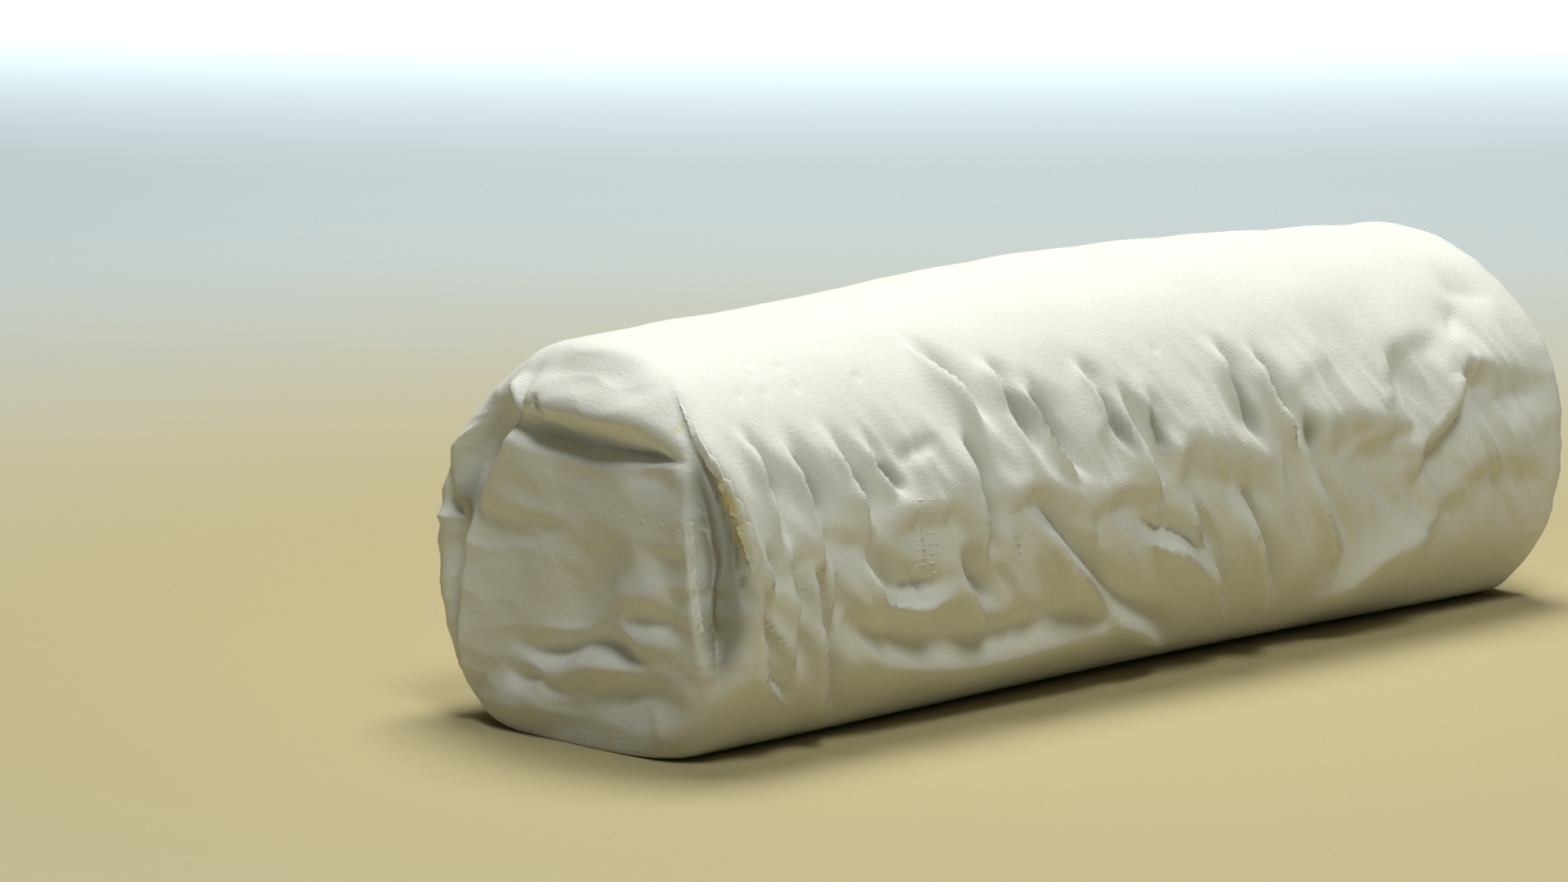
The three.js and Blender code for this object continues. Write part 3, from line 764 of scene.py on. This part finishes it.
def rind_material(settings):
    """The bloom on the rind: matt and a little see-through, so that its folds look soft and thick."""
    material = bpy.data.materials.new("bloomy_rind")
    material.use_nodes = True
    tree = material.node_tree
    shader = tree.nodes["Principled BSDF"]
    coords = add_node(tree, "ShaderNodeTexCoord").outputs["Object"]
    marks = add_node(tree, "ShaderNodeAttribute", {"attribute_name": "aged"}).outputs["Fac"]
    painted_shade_share = add_node(tree, "ShaderNodeAttribute", {"attribute_name": "bare"}).outputs["Fac"]
    patchy = add_node(tree, "ShaderNodeTexNoise", None, {
        "Vector": coords, "Scale": 1 / (MARK_SIZE * MM), "Detail": MARK_DETAIL})
    share = add_node(tree, "ShaderNodeMapRange", None, {
        "Value": patchy.outputs[0], "From Min": MARK_CUT[0], "From Max": MARK_CUT[1]})
    mark = maths(tree, "MULTIPLY", marks, share.outputs["Result"])
    # The grey mixed in here is painted shade in the slots and the recess, and a darker grey on the sunk
    # strip
    ground = add_node(tree, "ShaderNodeMix", {"data_type": "RGBA"}, {
        "Factor": painted_shade_share, FIRST_COLOUR: linear(settings.bloom), SECOND_COLOUR: linear(settings.bare)})
    colour = add_node(tree, "ShaderNodeMix", {"data_type": "RGBA"}, {
        "Factor": mark, FIRST_COLOUR: ground.outputs[MIXED_COLOUR], SECOND_COLOUR: linear(settings.aged)})
    tree.links.new(colour.outputs[MIXED_COLOUR], shader.inputs["Base Color"])
    for socket, value in RIND_FINISH.items():
        shader.inputs[socket].default_value = value
    grain = add_node(tree, "ShaderNodeTexNoise", None, {
        "Vector": coords, "Scale": 1 / (GRAIN_SIZE * MM),
        "Detail": GRAIN_DETAIL, "Roughness": GRAIN_ROUGHNESS})
    bump = add_node(tree, "ShaderNodeBump", None, {
        "Height": grain.outputs[0], "Strength": GRAIN_STRENGTH, "Distance": GRAIN_HEIGHT * MM})
    tree.links.new(bump.outputs[0], shader.inputs["Normal"])
    return material


def mark_rind(obj, name, on_sides, on_ends, half_length, more=0.0):
    """Keeps how far marks, listed as folds, reach each point of an object, with more where that is given."""
    marks = fold_heights(coordinates(obj) / MM, vertex_normals(obj), placed(on_sides, on_ends, half_length))
    store(obj, name, np.clip(marks + more, 0, 1))


def half_length_of(settings):
    """Half the log's length to the flat of its ends, in millimetres."""
    return settings.length / MM / 2 - END_DOME


class CHEESE_OT_build_log(bpy.types.Operator):
    """Build the log with its folds"""
    bl_idname = "cheese.build_log"
    bl_label = "Build the log"

    def execute(self, context):
        settings = context.scene.cheese_rind
        half_length = half_length_of(settings)
        log = new_object(LOG)
        apply_tree(log, *grid_tree(), {
            "Cells along": settings.cells_along, "Cells across": settings.cells_across})
        box = coordinates(log)
        share, turn = round_from_square(box[:, 1], box[:, 2])
        points = surface_points(box[:, 0] * half_length, share, turn, half_length)
        set_coordinates(log, points)
        normals = vertex_normals(log)
        creases = [fold for crease in SIDE_CREASES for fold in creased(crease)]
        side_folds = SIDE_SLOTS + SIDE_FOLDS + creases
        for x, angle in SIDE_PITS:
            side_folds.append(PIT._replace(path=[(x + along, angle + around) for along, around in PIT.path]))
        heights = fold_heights(points, normals, placed(side_folds, END_FOLDS, half_length))
        # Painted shade: the deep slots get the grey colour as if they lay in shade
        painted_shade_slots = [slot._replace(rise=SLOT_PAINTED_SHADE) for slot in SIDE_SLOTS]
        slot_painted_shade = fold_heights(points, normals, placed(painted_shade_slots, [], half_length))
        heights[points[:, 2] <= 0] = 0
        points = points + normals * heights[:, None]
        set_coordinates(log, points * MM)
        mark_wrinkles(log, points)
        apply_tree(log, *wrinkle_tree(), {
            "Pleat spacing": settings.pleat_spacing, "Pleat depth": settings.pleat_depth,
            "Crease spacing": settings.crease_spacing, "Crease depth": settings.crease_depth,
            "End spacing": settings.end_spacing, "End depth": settings.end_depth,
            "Lump spacing": settings.lump_spacing, "Lump depth": settings.lump_depth, "Seed": WRINKLE_SEED})
        points = coordinates(log)
        points[:, 2] = np.maximum(points[:, 2], 0)
        between, before, after = seam_points(box, settings.cells_across)
        points[between] = (points[before] + points[after]) / 2
        set_coordinates(log, points)
        log.data.shade_smooth()
        normals = vertex_normals(log)
        normals[between] = normals[before] + normals[after]
        normals /= np.linalg.norm(normals, axis=1)[:, None]
        log.data.normals_split_custom_set_from_vertices(normals)
        mark_rind(log, "aged", SIDE_STAINS, END_STAINS, half_length)
        # Painted shade in the slots and the recess, and the grey of the sunk strip, kept as a share for the
        # material
        mark_rind(log, "bare", SIDE_GREYED, END_GREYED_AND_PAINTED_SHADE, half_length, slot_painted_shade)
        log.data.materials.clear()
        log.data.materials.append(rind_material(settings))
        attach(log, BODY)
        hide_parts(NODE)
        return {"FINISHED"}


def lap_tree():
    """Lays a strip on the log: it follows the log's surface at its lift, and its frayed edge is free."""
    tree, identifiers, given = new_tree("lapped_edge", {
        "Log": "NodeSocketObject", "Fray size": "NodeSocketFloat", "Material": "NodeSocketMaterial"})
    info = add_node(tree, "GeometryNodeObjectInfo", {"transform_space": "ORIGINAL"}, {
        "Object": given["Log"]})
    place = add_node(tree, "GeometryNodeInputPosition").outputs[0]
    found = []
    for field in (place, add_node(tree, "GeometryNodeInputNormal").outputs[0]):
        sample = add_node(tree, "GeometryNodeSampleNearestSurface", {"data_type": "FLOAT_VECTOR"}, {
            "Mesh": info.outputs["Geometry"], "Value": field, "Sample Position": place})
        found.append(sample.outputs["Value"])
    across = attribute(tree, "across", "FLOAT_VECTOR")
    edge = attribute(tree, "edge", "FLOAT_VECTOR")
    fray_scale = maths(tree, "DIVIDE", 1.0, given["Fray size"])
    noise = add_node(tree, "ShaderNodeTexNoise", None, {
        "Vector": edge, "Scale": fray_scale, "Detail": FRAY_DETAIL, "Roughness": FRAY_ROUGHNESS})
    off_middle = maths(tree, "SUBTRACT", noise.outputs[0], NOISE_MIDDLE)
    swing = maths(tree, "MULTIPLY", off_middle, attribute(tree, "fray"))
    out = maths(tree, "ADD", attribute(tree, "out"), swing)
    total = found[0]
    for direction, size in ((found[1], attribute(tree, "lift")), (across, out)):
        shift = add_node(tree, "ShaderNodeVectorMath", {"operation": "SCALE"}, {0: direction, "Scale": size})
        both = add_node(tree, "ShaderNodeVectorMath", {"operation": "ADD"}, {0: total, 1: shift.outputs[0]})
        total = both.outputs[0]
    moved = add_node(tree, "GeometryNodeSetPosition", None, {
        "Geometry": given["Geometry"], "Position": total})
    smooth = add_node(tree, "GeometryNodeSetShadeSmooth", None, {"Geometry": moved.outputs[0]})
    painted = add_node(tree, "GeometryNodeSetMaterial", None, {
        "Geometry": smooth.outputs[0], "Material": given["Material"]})
    add_node(tree, "NodeGroupOutput", None, {0: painted.outputs[0]})
    return tree, identifiers


def evenly(curve, spacing):
    """Points along a curve at an even spacing."""
    run = np.concatenate([[0], np.cumsum(np.linalg.norm(np.diff(curve, axis=0), axis=1))])
    places = np.linspace(0, run[-1], max(int(run[-1] / spacing), 2) + 1)
    return np.stack([np.interp(places, run, curve[:, axis]) for axis in range(3)], axis=1), places


def on_log(log, points):
    """The nearest points of the log's surface, and its outward directions there."""
    found = [log.closest_point_on_mesh(Vector(point)) for point in points]
    return np.array([f[1] for f in found]), np.array([f[2] for f in found])


def lap_strip(log, lap, curve):
    """The points and faces of one lap's strip before it is laid, and what each point keeps for that."""
    edge, places = evenly(curve * MM, LAP_STEP * MM)
    on_edge, normals = on_log(log, edge)
    across = np.cross(normals, np.gradient(edge, axis=0))
    across /= np.linalg.norm(across, axis=1)[:, None]
    run = places / MM
    tips = (ease(0, lap.head or LAP_FADE, run) * ease(0, LAP_FADE, run[-1] - run))[:, None]
    inward = lap.reach * np.linspace(0, 1, LAP_COLUMNS) ** LAP_CROWDING
    inward = np.concatenate([[LAP_HELD, 0], inward])[None]
    held = np.maximum(inward, LAP_HELD)
    points = on_edge[:, None] + across[:, None] * held[..., None] * MM
    share = inward / lap.reach
    lift = tips * lap.lift * np.clip(1 - share, 0, 1) ** LAP_HOLLOW - LAP_SINK * share
    lift -= LAP_SINK * (1 - tips)
    lift[:, :2] -= LAP_THICK
    kept = {
        "lift": lift * MM,
        "out": tips * (inward - held) * MM,
        "fray": tips * lap.fray / NOISE_MIDDLE * np.clip(1 - inward / LAP_HELD, 0, 1) * MM,
        "across": np.broadcast_to(across[:, None], points.shape),
        "edge": np.broadcast_to(on_edge[:, None], points.shape),
    }
    columns = inward.shape[1]
    faces = []
    for i in range(len(edge) - 1):
        for j in range(columns - 1):
            corner = i * columns + j
            faces.append((corner, corner + columns, corner + columns + 1, corner + 1))
    return points.reshape(-1, 3), faces, kept


class CHEESE_OT_build_laps(bpy.types.Operator):
    """Build the free, frayed edges of the rind"""
    bl_idname = "cheese.build_laps"
    bl_label = "Build the lapped edges"

    def execute(self, context):
        settings = context.scene.cheese_rind
        half_length = half_length_of(settings)
        log = bpy.data.objects[LOG]
        tree, identifiers = lap_tree()
        for i, (lap, curve) in enumerate(placed(SIDE_LAPS, END_LAPS, half_length)):
            points, faces, kept = lap_strip(log, lap, curve)
            strip = new_object("rind_lap_%d" % i, points, faces)
            for name, values in kept.items():
                store(strip, name, values.reshape(len(points), -1).squeeze())
            apply_tree(strip, tree, identifiers, {
                "Log": log, "Fray size": FRAY_SIZE * MM, "Material": log.data.materials[0]})
            mark_rind(strip, "aged", SIDE_STAINS, END_STAINS, half_length)
            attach(strip, BODY)
        return {"FINISHED"}


def bump_tree():
    """Sets a small drawn-out ball at each point."""
    tree, identifiers, given = new_tree("seam_bumps", {"Material": "NodeSocketMaterial"})
    ball = add_node(tree, "GeometryNodeMeshUVSphere", None, {
        "Segments": BALL_SEGMENTS, "Rings": BALL_RINGS, "Radius": 1.0})
    size = attribute(tree, "size")
    scale = add_node(tree, "ShaderNodeCombineXYZ", None, {
        "X": maths(tree, "MULTIPLY", size, attribute(tree, "stretch")), "Y": size, "Z": size})
    balls = add_node(tree, "GeometryNodeInstanceOnPoints", None, {
        "Points": given["Geometry"], "Instance": ball.outputs[0], "Scale": scale.outputs[0]})
    real = add_node(tree, "GeometryNodeRealizeInstances", None, {0: balls.outputs[0]})
    smooth = add_node(tree, "GeometryNodeSetShadeSmooth", None, {"Geometry": real.outputs[0]})
    painted = add_node(tree, "GeometryNodeSetMaterial", None, {
        "Geometry": smooth.outputs[0], "Material": given["Material"]})
    add_node(tree, "NodeGroupOutput", None, {0: painted.outputs[0]})
    return tree, identifiers


class CHEESE_OT_build_bumps(bpy.types.Operator):
    """Build the rows of small bumps on the rind"""
    bl_idname = "cheese.build_bumps"
    bl_label = "Build the rows of bumps"

    def execute(self, context):
        half_length = half_length_of(context.scene.cheese_rind)
        log = bpy.data.objects[LOG]
        centres = []
        sizes = []
        stretches = []
        for row, curve in placed(SIDE_ROWS, END_ROWS, half_length):
            run = np.linspace(0, len(curve) - 1, row.count)
            steps = range(len(curve))
            spots = np.stack([np.interp(run, steps, curve[:, axis]) for axis in range(3)], axis=1)
            spots, normals = on_log(log, spots * MM)
            size = row.size * MM * (1 + BUMP_STRAY * np.array([stray(i) for i in range(row.count)]))
            centres.append(spots - normals * (BUMP_SUNK * size)[:, None])
            sizes.append(size)
            stretches.append(np.full(row.count, float(row.stretch)))
        bumps = new_object("rind_bumps", np.vstack(centres))
        store(bumps, "size", np.concatenate(sizes))
        store(bumps, "stretch", np.concatenate(stretches))
        apply_tree(bumps, *bump_tree(), {"Material": log.data.materials[0]})
        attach(bumps, BODY)
        return {"FINISHED"}


class StageSettings(bpy.types.PropertyGroup):
    """The camera and the lights."""
    azimuth: bpy.props.FloatProperty(
        name="Azimuth", description="Where the camera stands, from -Y towards +X",
        default=math.radians(-44.489), subtype="ANGLE")
    elevation: bpy.props.FloatProperty(
        name="Elevation", description="How far the camera looks down",
        default=math.radians(8.807), subtype="ANGLE")
    distance: bpy.props.FloatProperty(
        name="Distance", description="Camera to the point it looks at", default=0.6238, unit="LENGTH")
    lens: bpy.props.FloatProperty(
        name="Lens", description="Focal length on a 36 mm sensor", default=120.0, unit="CAMERA")
    near_floor: bpy.props.StringProperty(
        name="Floor", description="Colour of the floor by the log, as sRGB hex", default="b2a57b")
    far_floor: bpy.props.StringProperty(
        name="Far floor", description="Colour of the floor far away, as sRGB hex", default="d6e0e2")


def build_floor(stage):
    """A plain floor that pales with the distance."""
    corners = [(-FLOOR_HALF, -FLOOR_HALF, 0), (FLOOR_HALF, -FLOOR_HALF, 0),
               (FLOOR_HALF, FLOOR_HALF, 0), (-FLOOR_HALF, FLOOR_HALF, 0)]
    floor = new_object("floor", corners, [(0, 1, 2, 3)])
    material = bpy.data.materials.new("pale_floor")
    material.use_nodes = True
    tree = material.node_tree
    shader = tree.nodes["Principled BSDF"]
    shader.inputs["Roughness"].default_value = FLOOR_ROUGHNESS
    coords = add_node(tree, "ShaderNodeTexCoord")
    reach = add_node(tree, "ShaderNodeVectorMath", {"operation": "LENGTH"}, {0: coords.outputs["Object"]})
    share = add_node(tree, "ShaderNodeMapRange", {"interpolation_type": "SMOOTHSTEP"}, {
        "Value": reach.outputs["Value"], "From Min": FLOOR_PALES[0], "From Max": FLOOR_PALES[1]})
    colour = add_node(tree, "ShaderNodeMix", {"data_type": "RGBA"}, {
        "Factor": share.outputs["Result"],
        FIRST_COLOUR: linear(stage.near_floor), SECOND_COLOUR: linear(stage.far_floor)})
    tree.links.new(colour.outputs[MIXED_COLOUR], shader.inputs["Base Color"])
    floor.data.materials.append(material)


def build_camera(stage, scene):
    """A camera that looks at the log from the side and a little above."""
    data = bpy.data.cameras.new("camera")
    data.lens = stage.lens
    data.sensor_width = SENSOR
    data.clip_start = CLIP_START
    camera = bpy.data.objects.new("camera", data)
    scene.collection.objects.link(camera)
    level = math.cos(stage.elevation)
    back = Vector((math.sin(stage.azimuth) * level, -math.cos(stage.azimuth) * level,
                   math.sin(stage.elevation)))
    camera.location = Vector(CAMERA_AIM) + back * stage.distance
    camera.rotation_euler = back.to_track_quat("Z", "Y").to_euler()
    scene.camera = camera


def build_lamp(lamp, scene):
    """A square soft light."""
    data = bpy.data.lights.new(lamp.name, "AREA")
    data.shape = "SQUARE"
    data.size = lamp.size
    data.energy = lamp.watts
    data.color = linear(lamp.colour)[:3]
    obj = bpy.data.objects.new(lamp.name, data)
    scene.collection.objects.link(obj)
    obj.location = lamp.place
    obj.rotation_euler = (Vector(lamp.place) - Vector(lamp.aim)).to_track_quat("Z", "Y").to_euler()


class CHEESE_OT_build_stage(bpy.types.Operator):
    """Set the floor, the lights and the camera"""
    bl_idname = "cheese.build_stage"
    bl_label = "Build the stage"

    def execute(self, context):
        scene = context.scene
        build_floor(scene.cheese_stage)
        build_camera(scene.cheese_stage, scene)
        for lamp in LAMPS:
            build_lamp(lamp, scene)
        world = bpy.data.worlds.new("room")
        world.use_nodes = True
        background = world.node_tree.nodes["Background"]
        background.inputs["Color"].default_value = linear(ROOM_COLOUR)
        background.inputs["Strength"].default_value = ROOM_STRENGTH
        scene.world = world
        scene.view_settings.view_transform = "Standard"
        return {"FINISHED"}


class CHEESE_PT_panel(bpy.types.Panel):
    """The log's settings and its builders"""
    bl_idname = "CHEESE_PT_panel"
    bl_label = "Goat cheese log"
    bl_space_type = "VIEW_3D"
    bl_region_type = "UI"
    bl_category = "Cheese"

    def draw(self, context):
        for settings in (context.scene.cheese_rind, context.scene.cheese_stage):
            for name in settings.__annotations__:
                self.layout.prop(settings, name)
        for operator in OPERATORS:
            self.layout.operator(operator.bl_idname)


OPERATORS = (CHEESE_OT_build_log, CHEESE_OT_build_laps, CHEESE_OT_build_bumps, CHEESE_OT_build_stage)
CLASSES = (RindSettings, StageSettings) + OPERATORS + (CHEESE_PT_panel,)


def register():
    for cls in CLASSES:
        bpy.utils.register_class(cls)
    bpy.types.Scene.cheese_rind = bpy.props.PointerProperty(type=RindSettings)
    bpy.types.Scene.cheese_stage = bpy.props.PointerProperty(type=StageSettings)


def unregister():
    del bpy.types.Scene.cheese_stage
    del bpy.types.Scene.cheese_rind
    for cls in reversed(CLASSES):
        bpy.utils.unregister_class(cls)


def main():
    register()
    bpy.ops.cheese.build_log()
    bpy.ops.cheese.build_laps()
    bpy.ops.cheese.build_bumps()
    bpy.ops.cheese.build_stage()


if __name__ == "__main__":
    main()
